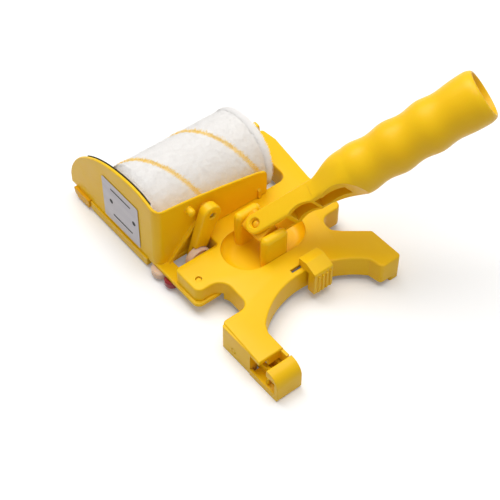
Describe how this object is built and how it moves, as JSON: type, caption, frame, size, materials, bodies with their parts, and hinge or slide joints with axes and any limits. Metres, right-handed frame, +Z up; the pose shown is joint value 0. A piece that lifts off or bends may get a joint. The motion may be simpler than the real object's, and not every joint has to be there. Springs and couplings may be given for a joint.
{
  "type": "edging paint roller",
  "caption": "Trim paint roller with a guard shield, guide wheels, a forked base and a hollow grip on a tilt and swivel joint.",
  "frame": {"origin": "centre of the bounding box on the floor, where the feet and wheels stand", "axes": "+X along the roller's axis away from the guard shield, +Y from the forked feet towards the roller, +Z up"},
  "size_m": [0.2032, 0.2358, 0.1476],
  "materials": {
    "abs_yellow": "satin moulded",
    "abs_amber": "satin moulded",
    "nap_fabric": "short knitted pile with two yellow stripes",
    "core_cream": "matte",
    "label_grey": "satin printed film",
    "seal_black": "matte",
    "wheel_pale": "satin",
    "wheel_red": "gloss",
    "steel": "brushed"
  },
  "bodies": {
    "base": {"base_shell": "abs_yellow", "guard_rivet": "abs_yellow", "guard_shell": "abs_yellow", "shield_seal": "seal_black", "guard_label": "label_grey", "guide_bar": "abs_yellow", "tip_glide": "abs_amber", "roller_axle": "steel", "far_bracket": "abs_yellow", "axle_clip": "steel", "bracket_screw_front": "steel", "bracket_screw_rear": "steel", "wheel_arm_pin": "steel", "trim_wheel_red_axle": "steel", "trim_wheel_pale_axle": "steel", "foot_pin": "steel"},
    "roller": {"roller_nap": "nap_fabric", "roller_core": "core_cream", "roller_cap_near": "abs_amber", "roller_cap_far": "abs_amber"},
    "wheel_lever": {"wheel_arm": "abs_yellow", "arm_wheel_axle": "steel"},
    "lever_wheel": {"arm_wheel": "wheel_pale"},
    "red_wheel": {"trim_wheel_red": "wheel_red"},
    "pale_wheel": {"trim_wheel_pale": "wheel_pale"},
    "slide": {"thumb_slide": "abs_yellow"},
    "foot": {"sprung_foot": "abs_yellow"},
    "tilt_joint": {"tilt_block": "abs_amber", "swivel_pin": "abs_amber"},
    "grip": {"handle": "abs_yellow", "pole_socket": "abs_amber"}
  },
  "joints": [
    {"name": "handle_tilt", "type": "hinge", "parent": "base", "child": "tilt_joint", "pos_m": [-0.03505, -0.0205, 0.034], "axis": [0, -1, 0], "range_deg": [-18, 94]},
    {"name": "handle_swivel", "type": "hinge", "parent": "tilt_joint", "child": "grip", "pos_m": [-0.0334, -0.0205, 0.03529], "axis": [-0.6157, 0, 0.788], "range_deg": [-2, 46]},
    {"name": "roller_spin", "type": "hinge", "parent": "base", "child": "roller", "pos_m": [-0.0424, 0.0492, 0.0324], "axis": [1, 0, 0], "continuous": true},
    {"name": "wheel_lever_swing", "type": "hinge", "parent": "base", "child": "wheel_lever", "pos_m": [-0.0576, 0.0057, 0.0432], "axis": [0, 1, 0], "range_deg": [0, 8], "stiffness_Nm_per_rad": 0.2, "springref_deg": -5.73},
    {"name": "lever_wheel_spin", "type": "hinge", "parent": "wheel_lever", "child": "lever_wheel", "pos_m": [-0.0708, 0.0027, 0.0097], "axis": [0, 1, 0], "continuous": true},
    {"name": "red_wheel_spin", "type": "hinge", "parent": "base", "child": "red_wheel", "pos_m": [-0.095, 0.0006, 0.0045], "axis": [0, 0, 1], "continuous": true},
    {"name": "pale_wheel_spin", "type": "hinge", "parent": "base", "child": "pale_wheel", "pos_m": [-0.0946, 0.0131, 0.0045], "axis": [0, 0, 1], "continuous": true},
    {"name": "thumb_slide_travel", "type": "slide", "parent": "base", "child": "slide", "axis": [1, 0, 0], "range_m": [-0.008, 0]},
    {"name": "foot_swing", "type": "hinge", "parent": "base", "child": "foot", "pos_m": [-0.0898, -0.0729, 0.0066], "axis": [-1, 0, 0], "range_deg": [0, 4], "stiffness_Nm_per_rad": 0.4, "springref_deg": -5.73}
  ]
}
